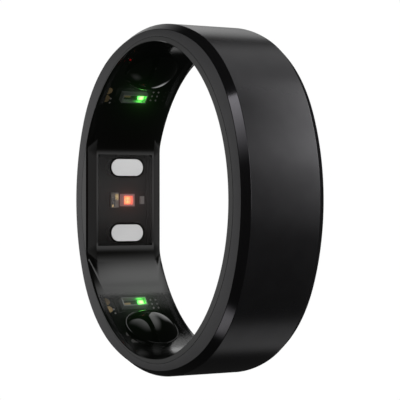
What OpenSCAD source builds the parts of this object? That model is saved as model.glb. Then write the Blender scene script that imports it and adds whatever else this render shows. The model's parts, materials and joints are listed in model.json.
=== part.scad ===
// Smart ring: a dark metal band with a cast inner liner, sensors under it and a curved cell.
// The finger axis runs along Y, +Z is up and the origin is the centre of the band.
// The near rim faces -Y. The sensor platform is on the -X side and the battery on the +X side.
// Profiles are drawn in the XY plane with the finger axis along Z, then stood up by ring_axes().

/* [Band] */
// Width across the outer flats
ring_across = 24.6; // [24:0.1:26]
// How much the radius of the four gently curved sides exceeds half the width
side_extra = 2.47; // [2.2:0.01:2.7]
// How much the radius of the four rounded corners falls short of half the width
corner_less = 2.31; // [2.1:0.01:2.5]
// Width of the band along the finger
band_w = 6.38; // [6.2:0.01:7]
// Thickness of the metal behind the electronics
shell_wall = 0.5; // [0.4:0.01:0.7]
// Thickness of each rim of the metal shell, along the finger
rim_t = 0.6; // [0.58:0.01:0.7]
// Chamfer of the outer edges, measured on the rim face
chamfer_r = 0.39; // [0.2:0.01:0.45]
// Chamfer of the outer edges, measured along the finger
chamfer_w = 0.54; // [0.3:0.01:0.56]
// Metal on the rim face at the two sides
rim_side_wall = 1.35; // [1.25:0.01:1.4]
// Metal on the rim face at top and bottom
rim_top_wall = 0.88; // [0.8:0.01:0.95]

/* [Liner] */
// Thickness of the cast liner over the electronics
liner_wall = 0.28; // [0.2:0.01:0.32]
// Free height over the flexible circuit at top and bottom
thin_room = 0.25; // [0.22:0.01:0.35]
// Free height over the flexible circuit at the edge of the sensor platform
sensor_room = 0.45; // [0.38:0.01:0.55]
// Blend radius from the flat platform into the round bore
platform_blend = 6; // [5:0.1:6.5]
// Depth of the bevels that run from the platform to the rims
platform_bevel_d = 0.35; // [0.2:0.01:0.45]
// Width of those bevels along the finger
platform_bevel_w = 0.72; // [0.4:0.01:0.8]
// Softened edge of the bore at the rims, measured across
edge_soft_r = 0.06; // [0.02:0.01:0.08]
// Softened edge of the bore at the rims, measured along the finger
edge_soft_w = 0.16; // [0.08:0.01:0.25]

/* [Sensor window] */
// Height of the clear window, around the ring
window_h = 6.9; // [6.6:0.1:7.4]
// Distance from the window's edges to the rims of the shell's channel
window_play = 0.29; // [0.2:0.01:0.4]
// Thickness of the clear window
window_t = 0.28; // [0.2:0.01:0.4]
// Radius of the corners of the window
window_corner = 0.3; // [0.1:0.05:0.6]
// Shift of the window's sensors towards the far rim
sensor_shift = 0.15; // [0:0.01:0.25]

/* [Charging contacts] */
// Length of a contact along the finger
contact_l = 2.76; // [2.2:0.01:3]
// Height of a contact around the ring
contact_h = 1.31; // [1:0.01:1.4]
// Distance of each contact's seal from the end of the window
contact_inset = 0.175; // [0.1:0.005:0.3]
// How far a contact stands proud of the window
contact_proud = 0.02; // [0:0.01:0.08]
// Thickness of the seal round a contact
seal_t = 0.1; // [0.06:0.01:0.14]

/* [Dome lenses] */
// Radius of a dome lens at its foot
dome_r = 1.96; // [1.7:0.01:2.05]
// Height of a dome lens above its collar
dome_h = 0.98; // [0.7:0.01:1.2]
// Place of a dome lens round the bore, in degrees from +X
dome_angle = 122; // [119:0.5:123]

/* [Circuit] */
// Thickness of the flexible circuit
flex_t = 0.12; // [0.08:0.01:0.15]
// Distance from the flexible circuit's edges to the rims of the shell's channel
flex_play = 0.24; // [0.1:0.01:0.4]
// Ends of the flexible circuit, in degrees from +X
flex_end_angle = 62; // [60:0.5:64]
// Distance from the flexible circuit to the back of the sensor board
board_standoff = 0.68; // [0.66:0.01:0.8]
// Thickness of the sensor board
board_t = 0.2; // [0.15:0.01:0.3]
// How far the sensor board's ends stay inside those of the window
board_inset = 0.15; // [0.05:0.01:0.25]
// Distance from the board's edges to the rims of the shell's channel
board_play = 0.49; // [0.3:0.01:0.6]
// Height of the light source packages
led_t = 0.45; // [0.3:0.01:0.5]
// Free height between the middle light source and the window
optic_gap = 0.15; // [0.08:0.01:0.3]

/* [Battery] */
// Thickness of the curved cell
battery_t = 0.85; // [0.6:0.01:0.9]
// Distance from the cell's edges to the rims of the shell's channel
battery_side_play = 0.29; // [0.1:0.01:0.5]
// Free height between cell and liner
battery_play = 0.27; // [0.2:0.01:0.4]
// End of the cell, in degrees round the ring
battery_end_angle = 56.5; // [45:0.5:58]
// Thickness of the adhesive film behind the cell
tape_t = 0.08; // [0.05:0.01:0.15]

/* [Hidden] */
$fn = 180;

// Clearances
fit_gap = 0.02;
flex_gap = 0.05;
overrun = 1;
// An inner arc stands out by this, so that it crosses the arcs beside it cleanly
arc_lap = 0.01;

// Outer outline: four side arcs and four corner arcs, tangent to each other
half_across = ring_across / 2;
side_r = half_across + side_extra;
corner_r = half_across - corner_less;
side_shift = side_extra;
arc_step = side_extra + corner_less;
corner_c = (sqrt(2 * arc_step * arc_step - side_shift * side_shift) - side_shift) / 2;
side_half = atan2(corner_c, corner_c + side_shift);
channel_w = band_w - 2 * rim_t;

// Widths in the shell's channel, and heights round the ring
window_w = channel_w - 2 * window_play;
flex_w = channel_w - 2 * flex_play;
board_w = channel_w - 2 * board_play;
battery_w = channel_w - 2 * battery_side_play;
board_h = window_h - 2 * board_inset;
contact_y = window_h / 2 - contact_inset - seal_t - fit_gap - contact_h / 2;

// Depths below the outer outline
flex_back = shell_wall + flex_gap;
flex_face = flex_back + flex_t;
battery_back = shell_wall + tape_t;
battery_face = battery_back + battery_t;
board_back = flex_face + board_standoff;
board_face = board_back + board_t;
window_back = board_face + led_t + optic_gap;
platform_depth = window_back + window_t;

// Bore of the liner: an oval of four tangent arcs, set off towards the sensors
oval_step = 0.3;
bore_right = half_across - battery_face - battery_play - liner_wall;
bore_left = half_across - flex_face - sensor_room - liner_wall;
bore_top = half_across - flex_face - thin_room - liner_wall;
bore_mid = (bore_right - bore_left) / 2;
bore_half = (bore_right + bore_left) / 2;
platform_x = half_across - platform_depth;

// The oval opening of the metal rims, and the liner's flanges in it
rim_half = half_across - rim_side_wall;
rim_top = half_across - rim_top_wall;
liner_h = channel_w - 2 * fit_gap;

// Radii and centres of an oval's arcs, from its half width and half height
function oval_side_r(half_h) = half_h + oval_step;
function oval_side_c(half_w, half_h) = oval_side_r(half_h) - half_w;
function oval_end_r(half_w, half_h) =
    (pow(oval_side_r(half_h), 2) - pow(oval_side_c(half_w, half_h), 2) - pow(half_h, 2))
    / (2 * oval_step);
function oval_end_c(half_w, half_h) = half_h - oval_end_r(half_w, half_h);
function oval_join(half_w, half_h) =
    atan2(oval_end_c(half_w, half_h), oval_side_c(half_w, half_h));

bore_side_r = oval_side_r(bore_top);
bore_side_c = oval_side_c(bore_half, bore_top);
bore_end_r = oval_end_r(bore_half, bore_top);
bore_end_c = oval_end_c(bore_half, bore_top);

// Blend between the platform and the left side arc
blend_x = platform_blend - platform_x;
blend_run = bore_side_r - platform_blend;
blend_dx = bore_mid + bore_side_c - blend_x;
blend_y = sqrt(blend_run * blend_run - blend_dx * blend_dx);
blend_join = atan2(blend_y, blend_dx);

// An arc is [centre x, centre y, radius, first angle, last angle]
corner_reach = corner_c * sqrt(2) + arc_lap;
function side(q) = [-side_shift * cos(90 * q), -side_shift * sin(90 * q), side_r,
    90 * q - side_half, 90 * q + side_half];
function corner(q) = [corner_reach * cos(90 * q + 45), corner_reach * sin(90 * q + 45),
    corner_r, 90 * q + side_half, 90 * q + 90 - side_half];
UPPER = 1;
LOWER = 2;

// Stands a ring that was drawn in the XY plane up on the world's axes
module ring_axes() rotate([90, 0, 0]) children();

// A disc whose edge leans in (lip below zero) or out (above zero) at both rims
module edge_disc(s, grow, h, lip, lip_w) translate([s[0], s[1], 0]) {
    r = s[2] + grow;
    end = h / 2 + overrun;
    if (lip == 0) cylinder(r = r, h = 2 * end, center = true);
    else rotate_extrude() polygon([[0, -end], [r + lip, -end], [r + lip, -h / 2],
        [r, lip_w - h / 2], [r, h / 2 - lip_w], [r + lip, h / 2], [r + lip, end], [0, end]]);
}

// A wedge of the plane from a point, between two angles
module wedge(a0, a1, h) {
    reach = 2 * ring_across;
    linear_extrude(h, center = true) polygon([[0, 0], reach * [cos(a0), sin(a0)],
        reach * [cos((a0 + a1) / 2), sin((a0 + a1) / 2)], reach * [cos(a1), sin(a1)]]);
}

// What lies outside an arc, between its ends
module round_off(s, grow, h, lip, lip_w) difference() {
    translate([s[0], s[1], 0]) wedge(s[3], s[4], h + overrun);
    edge_disc(s, grow, h, lip, lip_w);
}

// The band's outline: four side discs crossed, with their corners rounded off
module outline(grow, h, lip = 0, lip_w = 0) difference() {
    intersection() {
        cylinder(r = ring_across, h = h, center = true);
        intersection_for (q = [0 : 3]) edge_disc(side(q), grow, h, lip, lip_w);
    }
    for (q = [0 : 3]) round_off(corner(q), grow, h, lip, lip_w);
}

// An oval of four arcs: two side discs crossed, with both ends rounded off.
// With a lip that leans out it is a cutter, and runs past both rims.
module oval(half_w, half_h, mid, grow, h, lip = 0, lip_w = 0) {
    c = oval_side_c(half_w, half_h);
    v = oval_end_c(half_w, half_h) + arc_lap;
    j = oval_join(half_w, half_h);
    difference() {
        intersection() {
            cylinder(r = ring_across, h = lip > 0 ? h + overrun : h, center = true);
            edge_disc([mid - c, 0, oval_side_r(half_h)], grow, h, lip, lip_w);
            edge_disc([mid + c, 0, oval_side_r(half_h)], grow, h, lip, lip_w);
        }
        for (m = [0, 1]) mirror([0, m, 0])
            round_off([mid, v, oval_end_r(half_w, half_h), j, 180 - j], grow, h, lip, lip_w);
    }
}

// A curved strip between two depths below the outline
module strip(near, far, w) difference() {
    outline(-near, w);
    outline(-far, w + 2 * overrun);
}

// The bore: an oval cut by the platform, with a blend at each of its two edges
module bore(grow, h, lip = 0, lip_w = 0, slope = 0, slope_w = 0) difference() {
    oval(bore_half, bore_top, bore_mid, grow, h, lip, lip_w);
    for (m = [0, 1]) mirror([0, m, 0]) round_off([blend_x - arc_lap, blend_y, platform_blend,
        180 - blend_join, 180], grow, h, lip, lip_w);
    platform_block(grow, h, slope, slope_w);
}

// What the platform takes from the bore, with a slope down to both rims
module platform_block(grow, h, slope, slope_w) {
    face = platform_x + grow;
    end = h / 2 + overrun;
    translate([0, ring_across / 2, 0]) rotate([90, 0, 0]) linear_extrude(ring_across)
        polygon(slope == 0
            ? [[-ring_across, -end], [-face, -end], [-face, end], [-ring_across, end]]
            : [[-ring_across, -end], [-face - slope, -end], [-face - slope, -h / 2],
               [-face, slope_w - h / 2], [-face, h / 2 - slope_w], [-face - slope, h / 2],
               [-face - slope, end], [-ring_across, end]]);
}

// Puts a part on an arc's face: its Z points to the finger and its X along the finger
module on_arc(s, angle, depth) translate([s[0], s[1], 0])
    rotate([0, 0, angle]) translate([s[2] - depth, 0, 0]) rotate([0, -90, 0]) children();

// Depth at which a flat part of a given length clears a hollow curved face
function seat(s, depth, l) = s[2] - sqrt(pow(s[2] - depth - fit_gap, 2) - pow(l / 2, 2));

// A flat part on the flexible circuit: w along the finger, l around the ring
module on_flex(s, angle, l, along = 0)
    on_arc(s, angle, seat(s, flex_face, l)) translate([along, 0, 0]) children();

// Runs along the circuit are measured from the middle of the platform
face_side_r = side_r - flex_face;
face_corner_r = corner_r - flex_face;
side_run = face_side_r * side_half * PI / 180;

// The arc and the angle at a run along the circuit, above (m = 1) or below (m = -1)
function run_arc(run, m) = run < side_run ? side(2) : corner(m > 0 ? 1 : 2);
function run_angle(run, m) = 180 - m * (run < side_run ? run / face_side_r * 180 / PI
    : side_half + (run - side_run) / face_corner_r * 180 / PI);
module on_run(run, m, l, along = 0)
    on_flex(run_arc(run, m), run_angle(run, m), l, along) children();

module block(w, l, h) translate([-w / 2, -l / 2, 0]) cube([w, l, h]);

// Places a part on the platform: Z points to the finger, X along the finger, Y around it
module on_platform(depth, y, along) translate([-(half_across - depth), y, -sensor_shift - along])
    rotate([0, 90, 0]) rotate([0, 0, 180]) children();

module stadium(l, h, t) linear_extrude(t) {
    square([l - h, h], center = true);
    for (m = [-1, 1]) translate([m * (l - h) / 2, 0]) circle(d = h);
}

// Metal shell with its rims and chamfers
module outer_shell() color("#3a3a3d") ring_axes() difference() {
    outline(0, band_w, -chamfer_r, chamfer_w);
    outline(-shell_wall, channel_w);
    oval(rim_half, rim_top, 0, 0, band_w + overrun);
}

// Window opening and window share one outline
module window_outline(gap, t) linear_extrude(t) {
    w = window_w + 2 * gap;
    h = window_h + 2 * gap;
    r = window_corner + gap;
    square([w - 2 * r, h], center = true);
    square([w, h - 2 * r], center = true);
    for (x = [-1, 1], y = [-1, 1]) translate([x * (w / 2 - r), y * (h / 2 - r)]) circle(r);
}

function dome_seat(m) = [bore_mid, m * bore_end_c, bore_end_r, 0, 0];
collar_h = bore_end_r - sqrt(bore_end_r * bore_end_r - dome_r * dome_r);

// Cast liner: a thin wall over the electronics and a flange in each rim
flange_t = (band_w - liner_h) / 2 + flex_gap;
module inner_liner() color("#18181a") ring_axes() difference() {
    union() {
        bore(liner_wall, liner_h);
        for (m = [0, 1]) mirror([0, 0, m]) translate([0, 0, (band_w - flange_t) / 2])
            oval(rim_half, rim_top, 0, -fit_gap, flange_t);
    }
    bore(0, band_w, edge_soft_r, edge_soft_w, platform_bevel_d, platform_bevel_w);
    on_platform(platform_depth - window_t - overrun, 0, -sensor_shift)
        window_outline(fit_gap, window_t + 2 * overrun);
    for (m = [-1, 1]) on_arc(dome_seat(m), m * dome_angle, 0)
        translate([0, 0, -overrun]) cylinder(r = dome_r + fit_gap, h = 2 * overrun);
}

// Clear flat window with the two contact openings
module sensor_window() color("#2a2426") ring_axes() difference() {
    on_platform(window_back, 0, -sensor_shift) window_outline(0, window_t);
    for (m = [-1, 1]) on_platform(window_back - overrun, m * contact_y, 0)
        stadium(contact_l + 2 * (seal_t + fit_gap), contact_h + 2 * (seal_t + fit_gap),
            window_t + 2 * overrun);
}

// Domed lens with the collar that fills its hole in the liner
module dome_lens(m) color("#0c0c0e") ring_axes() on_arc(dome_seat(m), m * dome_angle, 0) {
    ball_r = (dome_r * dome_r + dome_h * dome_h) / (2 * dome_h);
    translate([0, 0, -liner_wall]) cylinder(r = dome_r, h = liner_wall + collar_h);
    intersection() {
        translate([0, 0, collar_h + dome_h - ball_r]) sphere(ball_r);
        translate([0, 0, collar_h]) cylinder(r = dome_r, h = dome_h + overrun);
    }
}
module dome_lens_upper() dome_lens(1);
module dome_lens_lower() dome_lens(-1);

// Contact pin: a rounded pad that reaches from the board through the window
contact_len = platform_depth - board_face + contact_proud;
module charge_contact(m) color("#c9c9cb") ring_axes() on_platform(board_face, m * contact_y, 0)
    stadium(contact_l, contact_h, contact_len);
module charge_contact_upper() charge_contact(1);
module charge_contact_lower() charge_contact(-1);

// Seals between the contacts and the window
module contact_seals() color("#050505") ring_axes() for (m = [-1, 1])
    on_platform(window_back, m * contact_y, 0) difference() {
        stadium(contact_l + 2 * seal_t, contact_h + 2 * seal_t, window_t);
        translate([0, 0, -overrun])
            stadium(contact_l + fit_gap, contact_h + fit_gap, window_t + 2 * overrun);
    }

// Rigid board behind the window
module sensor_board() color("#1d3324") ring_axes()
    on_platform(board_back, 0, 0) block(board_w, board_h, board_t);

// Solder bars that join the board to the flexible circuit
spacer_l = 0.5;
spacer_in = 1.05;
spacer_y = board_h / 2 - spacer_in;
module board_spacers() color("#24402c") ring_axes() for (m = [-1, 1]) {
    reach = spacer_y + spacer_l / 2;
    sag = side_r - flex_face - sqrt(pow(side_r - flex_face, 2) - reach * reach);
    t = board_standoff - sag - fit_gap;
    on_platform(board_back - t, m * spacer_y, 0) block(board_w - spacer_l, spacer_l, t);
}

// Light source in the middle of the window: a frame with four dies in its cup
led_w = 1.05;
led_h = 0.95;
led_along = 0.35;
led_floor = 0.12;
led_rim = 0.14;
die_gap = 0.06;
die_t = 0.16;
die_w = (led_w - 2 * led_rim - 3 * die_gap) / 2;
die_h = (led_h - 2 * led_rim - 3 * die_gap) / 2;
module red_ir_led() color("#e8d8d2") ring_axes() on_platform(board_face, 0, led_along) difference() {
    block(led_w, led_h, led_t);
    translate([0, 0, led_floor]) block(led_w - 2 * led_rim, led_h - 2 * led_rim, led_t);
}
module red_ir_dies() color("#ff5a1e") ring_axes()
    on_platform(board_face + led_floor, 0, led_along)
        for (x = [-1, 1], y = [-1, 1])
            translate([x * (die_w + die_gap) / 2, y * (die_h + die_gap) / 2, 0])
                block(die_w, die_h, die_t);

// Photodiode beside the middle light source
middle_pd_w = 0.65;
middle_pd_h = 1.15;
middle_pd_t = 0.3;
middle_pd_along = 0.75;
module middle_photodiode() color("#8a8478") ring_axes()
    on_platform(board_face, 0, -middle_pd_along) block(middle_pd_w, middle_pd_h, middle_pd_t);

// Green light source: an open frame with its die at one end
green_w = 2.1;
green_l = 0.8;
green_angle = 139.5;
green_floor = 0.12;
green_rim = 0.1;
green_die_w = 0.55;
green_die_t = 0.18;
module on_green(q) {
    a = q == UPPER ? green_angle : 360 - green_angle;
    on_flex(corner(q), a, green_l, -sensor_shift) children();
}
module green_led(q) color("#b9c4bd") ring_axes() on_green(q) difference() {
    block(green_w, green_l, led_t);
    translate([0, 0, green_floor])
        block(green_w - 2 * green_rim, green_l - 2 * green_rim, led_t);
}
module green_led_upper() green_led(UPPER);
module green_led_lower() green_led(LOWER);
module green_die(q) color("#3dff4a") ring_axes() on_green(q)
    translate([green_rim + die_gap + green_die_w / 2 - green_w / 2, 0, green_floor])
        block(green_die_w, green_l - 2 * (green_rim + die_gap), green_die_t);
module green_die_upper() green_die(UPPER);
module green_die_lower() green_die(LOWER);

// Photodiodes under the domes
dome_pd_w = 1.6;
dome_pd_l = 1.2;
dome_pd_t = 0.26;
dome_pd_angle = 117;
module photodiode(q) color("#3b3f46") ring_axes()
    on_flex(corner(q), q == UPPER ? dome_pd_angle : 360 - dome_pd_angle, dome_pd_l)
        block(dome_pd_w, dome_pd_l, dome_pd_t);
module photodiode_upper() photodiode(UPPER);
module photodiode_lower() photodiode(LOWER);

// Flexible circuit that follows the shell round the sensor side
module flex_circuit() color("#23402e") ring_axes() difference() {
    strip(flex_back, flex_face, flex_w);
    wedge(-flex_end_angle, flex_end_angle, flex_w + 2 * overrun);
}

// Radio chip on the back of the sensor board
radio_w = 2.2;
radio_t = 0.36;
module bluetooth_chip() color("#2b2b2e") ring_axes()
    on_platform(board_back - radio_t, 0, 0) block(radio_w, radio_w, radio_t);

// Chips between the board and the green light sources, evenly spaced
power_w = 1.2;
power_t = 0.4;
motion_w = 1.6;
motion_t = 0.45;
memory_w = 2;
memory_l = 1.4;
memory_t = 0.4;
crystal_w = 1.6;
crystal_l = 1;
crystal_t = 0.35;
green_run = side_run + (180 - side_half - green_angle) * PI / 180 * face_corner_r;
chip_span = green_run - green_l / 2 - board_h / 2;
upper_gap = (chip_span - power_w - motion_w) / 3;
lower_gap = (chip_span - memory_l - crystal_l) / 3;
power_run = board_h / 2 + upper_gap + power_w / 2;
motion_run = green_run - green_l / 2 - upper_gap - motion_w / 2;
memory_run = board_h / 2 + lower_gap + memory_l / 2;
crystal_run = green_run - green_l / 2 - lower_gap - crystal_l / 2;
module power_chip() color("#2b2b2e") ring_axes()
    on_run(power_run, 1, power_w) block(power_w, power_w, power_t);
module motion_sensor() color("#35353a") ring_axes()
    on_run(motion_run, 1, motion_w) block(motion_w, motion_w, motion_t);
module memory_chip() color("#2b2b2e") ring_axes()
    on_run(memory_run, -1, memory_l) block(memory_w, memory_l, memory_t);
module timing_crystal() color("#b8b8bc") ring_axes()
    on_run(crystal_run, -1, crystal_l) block(crystal_w, crystal_l, crystal_t);

// Parts on the circuit's upper and lower ends
temp_w = 0.8;
temp_t = 0.18;
temp_angle = 100;
module temperature_sensor() color("#2b2b2e") ring_axes()
    on_flex(side(1), temp_angle, temp_w) block(temp_w, temp_w, temp_t);
guard_w = 1.8;
guard_l = 1.2;
guard_t = 0.35;
end_angle = 73;
module protection_chip() color("#2b2b2e") ring_axes()
    on_flex(side(1), end_angle, guard_l) block(guard_w, guard_l, guard_t);
antenna_w = 3.2;
antenna_l = 1;
antenna_t = 0.35;
module chip_antenna() color("#d9d4c8") ring_axes()
    on_flex(side(3), 360 - end_angle, antenna_l) block(antenna_w, antenna_l, antenna_t);

// Capacitors and resistors in two columns beside the chips
passive_w = 0.6;
passive_l = 0.3;
passive_t = 0.2;
passive_pitch = 0.7;
passive_in = 0.4;
passive_share = 0.75;
module passives() color("#9a8f80") ring_axes() {
    for (c = [[power_run, 1], [motion_run, 1], [memory_run, -1], [crystal_run, -1]],
        a = [-1, 1], b = [-1, 1])
        on_run(c[0] + a * passive_pitch / 2, c[1], passive_l, b * passive_share * flex_w / 2)
            block(passive_w, passive_l, passive_t);
    for (b = [-1, 1]) on_flex(side(1), temp_angle, passive_l, b * passive_share * flex_w / 2)
        block(passive_w, passive_l, passive_t);
    on_platform(board_face, 0, board_w / 2 - passive_in) block(passive_l, passive_w, passive_t);
}

// Gold test pads at the near edge of the flexible circuit
pad_d = 0.6;
pad_t = 0.04;
pad_in = 0.05;
pad_pitch = 0.72;
module test_pads() color("#c9a25a") ring_axes() for (a = [-1, 1], m = [-1, 1])
    on_run(green_run + a * pad_pitch / 2, m, pad_d, (flex_w - pad_d) / 2 - pad_in)
        cylinder(d = pad_d, h = pad_t);

// Curved lithium cell between the shell and the liner
module battery_cell() color("#8f9296") ring_axes() intersection() {
    strip(battery_back, battery_face, battery_w);
    wedge(-battery_end_angle, battery_end_angle, battery_w + 2 * overrun);
}

// Adhesive film behind the cell
module battery_tape() color("#b98a2e") ring_axes() intersection() {
    strip(shell_wall + fit_gap, battery_back - fit_gap, battery_w - 2 * tape_t);
    wedge(-battery_end_angle, battery_end_angle, battery_w + 2 * overrun);
}

// Nickel tabs from the end of the cell to the flexible circuit
tab_w = 0.9;
tab_t = 0.1;
tab_along = 1.2;
tab_overlap_angle = 3;
module battery_tabs() color("#c4c2ba") ring_axes() for (m = [-1, 1])
    translate([0, 0, m * tab_along]) intersection() {
        strip(flex_face + fit_gap, flex_face + fit_gap + tab_t, tab_w);
        wedge(battery_end_angle, flex_end_angle + tab_overlap_angle, tab_w + 2 * overrun);
    }

outer_shell();
inner_liner();
sensor_window();
dome_lens_upper();
dome_lens_lower();
charge_contact_upper();
charge_contact_lower();
contact_seals();
sensor_board();
board_spacers();
red_ir_led();
red_ir_dies();
middle_photodiode();
green_led_upper();
green_led_lower();
green_die_upper();
green_die_lower();
photodiode_upper();
photodiode_lower();
flex_circuit();
bluetooth_chip();
power_chip();
memory_chip();
motion_sensor();
timing_crystal();
chip_antenna();
temperature_sensor();
passives();
test_pads();
battery_cell();
battery_tape();
battery_tabs();
protection_chip();
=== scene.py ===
# A smart ring: a satin dark band with polished chamfers, a smoked liner over its circuit,
# two domed lenses, two charging contacts, and lit green and red light sources.
import json
import math

import bpy
from mathutils import Matrix, Vector

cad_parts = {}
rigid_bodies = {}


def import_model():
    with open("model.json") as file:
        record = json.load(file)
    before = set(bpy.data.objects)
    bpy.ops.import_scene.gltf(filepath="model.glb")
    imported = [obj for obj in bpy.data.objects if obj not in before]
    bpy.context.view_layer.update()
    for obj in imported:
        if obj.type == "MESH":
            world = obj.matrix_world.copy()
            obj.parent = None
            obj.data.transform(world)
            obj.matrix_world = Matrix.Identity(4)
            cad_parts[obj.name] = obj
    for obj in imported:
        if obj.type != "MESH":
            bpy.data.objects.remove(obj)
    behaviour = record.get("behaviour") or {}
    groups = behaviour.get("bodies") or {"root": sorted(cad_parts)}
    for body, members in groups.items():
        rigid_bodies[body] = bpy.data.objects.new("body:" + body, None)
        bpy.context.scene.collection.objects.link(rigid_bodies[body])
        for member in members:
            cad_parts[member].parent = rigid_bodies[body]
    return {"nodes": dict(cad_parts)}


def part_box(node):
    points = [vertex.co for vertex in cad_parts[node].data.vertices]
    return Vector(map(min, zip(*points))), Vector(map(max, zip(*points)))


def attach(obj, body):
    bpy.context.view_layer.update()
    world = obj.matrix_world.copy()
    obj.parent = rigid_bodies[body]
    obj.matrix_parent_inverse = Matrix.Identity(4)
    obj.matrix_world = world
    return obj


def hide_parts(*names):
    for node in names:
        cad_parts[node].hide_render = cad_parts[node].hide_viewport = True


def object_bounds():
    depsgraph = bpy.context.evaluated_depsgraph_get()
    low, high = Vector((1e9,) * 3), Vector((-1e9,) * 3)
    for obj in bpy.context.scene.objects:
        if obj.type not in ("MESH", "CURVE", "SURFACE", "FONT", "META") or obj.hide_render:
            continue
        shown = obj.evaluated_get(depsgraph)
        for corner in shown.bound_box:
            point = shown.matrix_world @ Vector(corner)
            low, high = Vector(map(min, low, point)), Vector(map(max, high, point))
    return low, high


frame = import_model()
cad_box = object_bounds()
nodes = frame["nodes"]
MM = 0.001
TINY = 0.0001 * MM
# Points nearer than this are one point, and an outline's first point is drawn together from this size
SAME_PLACE = 10 * TINY
SEED_SIZE = 100 * TINY
# The way that the finger goes, and the way that the platform faces
FINGER_WAY = Vector((0, 1, 0))
PLATFORM_IN = Vector((1, 0, 0))

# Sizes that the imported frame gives
half_across = cad_box[1].x
half_w = cad_box[1].y

# Band, as the frame has it
side_extra = 2.47 * MM
corner_less = 2.31 * MM
chamfer_r = 0.39 * MM
chamfer_w = 0.54 * MM
shell_wall = 0.5 * MM
rim_t = 0.6 * MM
rim_side_wall = 1.35 * MM
rim_top_wall = 0.88 * MM
edge_round = 0.032 * MM
# A face belongs to a chamfer where its normal leans along the finger by a share between these
chamfer_lean_shares = (0.3, 0.95)
# The flat rings of the rims lean in by this, so that their two loops don't lie in one plane
dish = 0.002 * MM

# Liner, as the frame has it
liner_wall = 0.28 * MM
bore_left = 10.9 * MM
bore_right = 10.32 * MM
bore_top = 11.1 * MM
platform_x = 9.87 * MM
platform_blend = 6 * MM
lip_r = 0.06 * MM
lip_w = 0.16 * MM
bevel_d = 0.35 * MM
bevel_w = 0.72 * MM
rim_blend = 2.2 * MM
lip_blend = rim_blend + 0.3 * MM
turn_r = lip_r / 3
turn_w = lip_w / 5
oval_step = 0.3 * MM
fit_gap = 0.02 * MM

# Domes
dome_r = 1.96 * MM
dome_h = 0.98 * MM
dome_angle = math.radians(122)
bead_r = 0.05 * MM

# Charging contacts
contact_round = 0.03 * MM

# Circuit's inner face, below the band's outside
circuit_depth = 0.67 * MM

# The dark resin is clear over the light sources and the domes. Each pair is the last place where it is
# clear and the first where it is dark: for height, along the finger, and across towards the far wall
clear_height = (7.35 * MM, 6.95 * MM)
clear_width = (2.9 * MM, 3.05 * MM)
clear_depth = (-3.5 * MM, -2.5 * MM)

# Green light sources
green_angle = math.radians(139.5)
green_rim = 0.1 * MM
green_floor = 0.12 * MM
film_t = 0.01 * MM
carrier_t = 0.03 * MM
led_t = 0.45 * MM
green_well_l = 0.58 * MM
green_die_w = 0.44 * MM
green_die_l = 0.36 * MM
green_die_t = 0.18 * MM
green_pad_w = 0.55 * MM
green_pad_l = 0.16 * MM
pad_along = 0.5 * MM
green_power = 5.5
green_reach = 0.7 * green_die_w

# Small board under each green source, at an angle in degrees round the corner from the platform's side,
# and the places of the dots at its ends, along the finger and round the ring
carrier_w = 3.0 * MM
carrier_l = 1.36 * MM
carrier_angle = 40.5
dot_r = 0.075 * MM
dot_t = 0.06 * MM
right_dots_along = (1.68 * MM, 2.12 * MM)
right_dots_round = (-0.38 * MM, 0, 0.38 * MM)
left_dots = ((-1.75 * MM, -0.36 * MM), (-1.72 * MM, -0.74 * MM), (-2.2 * MM, -0.36 * MM))

# Red light source
red_floor = 0.12 * MM
red_floor_w = 0.76 * MM
red_floor_l = 0.66 * MM
red_die_w = 0.24 * MM
red_die_gap = 0.08 * MM
red_die_t = 0.16 * MM
red_power = 2.7
red_reach = 0.45 * MM

# Dark face of the middle photodiode, and its gold pads: name, place from the middle, width and length
pd_face_place = (-0.12 * MM, -0.15 * MM)
pd_face_w = 0.3 * MM
pd_face_l = 0.7 * MM
pd_gold_t = 2 * film_t
pd_gold_pads = (
    ("pd_gold_upper", (0.16 * MM, 0.24 * MM), 0.26 * MM, 0.42 * MM),
    ("pd_gold_lower", (-0.2 * MM, -0.44 * MM), 0.18 * MM, 0.18 * MM),
)

# Tinned parts beside the lower dome, at angles in degrees round the corner
tinned_angles = (60, 66)
tinned_along = -1.4 * MM
tinned_w = 0.5 * MM
tinned_l = 0.26 * MM
tinned_t = 0.16 * MM
tinned_round = 0.03 * MM

# Painted red glints beside the domes, small dots that glow: angle round the corner, place along the finger,
# upper (1) or lower (-1)
red_glints = ((64, -2.15 * MM, 1), (65, -1.7 * MM, 1), (46.7, 1.15 * MM, 1), (64, -2.2 * MM, -1))
glint_power = 0.5
glint_reach = 0.12 * MM

# Angle, in degrees, past which an edge of the band is rounded
SHARP_FOLD = 20
# Angles, in degrees, up to which a surface is smooth
LINER_SMOOTH = 25
PIECE_SMOOTH = 30
CONTACT_SMOOTH = 35
LENS_SMOOTH = 40

# Steps of the arcs
SIDE_STEPS = 60
CORNER_STEPS = 38
END_STEPS = 76
BLEND_STEPS = 24
LINE_STEPS = 14
DOME_STEPS = 128
DOME_RISE_STEPS = 28
CONTACT_END_STEPS = 24
DOT_STEPS = 12

side_r = half_across + side_extra
corner_r = half_across - corner_less
arc_step = side_extra + corner_less
corner_c = (math.sqrt(2 * arc_step**2 - side_extra**2) - side_extra) / 2
side_half = math.atan2(corner_c, corner_c + side_extra)
channel_half = half_w - rim_t


# Outlines: each is a list of arcs (centre x, centre z, radius, first angle, last angle, steps)
def band_outline(grow):
    arcs = []
    for q in range(4):
        turn = q * math.pi / 2
        arcs.append((-side_extra * math.cos(turn), -side_extra * math.sin(turn), side_r + grow,
                     turn - side_half, turn + side_half, SIDE_STEPS))
        reach = corner_c * math.sqrt(2)
        mid = turn + math.pi / 4
        arcs.append((reach * math.cos(mid), reach * math.sin(mid), corner_r + grow,
                     turn + side_half, turn + math.pi / 2 - side_half, CORNER_STEPS))
    return arcs


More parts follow.
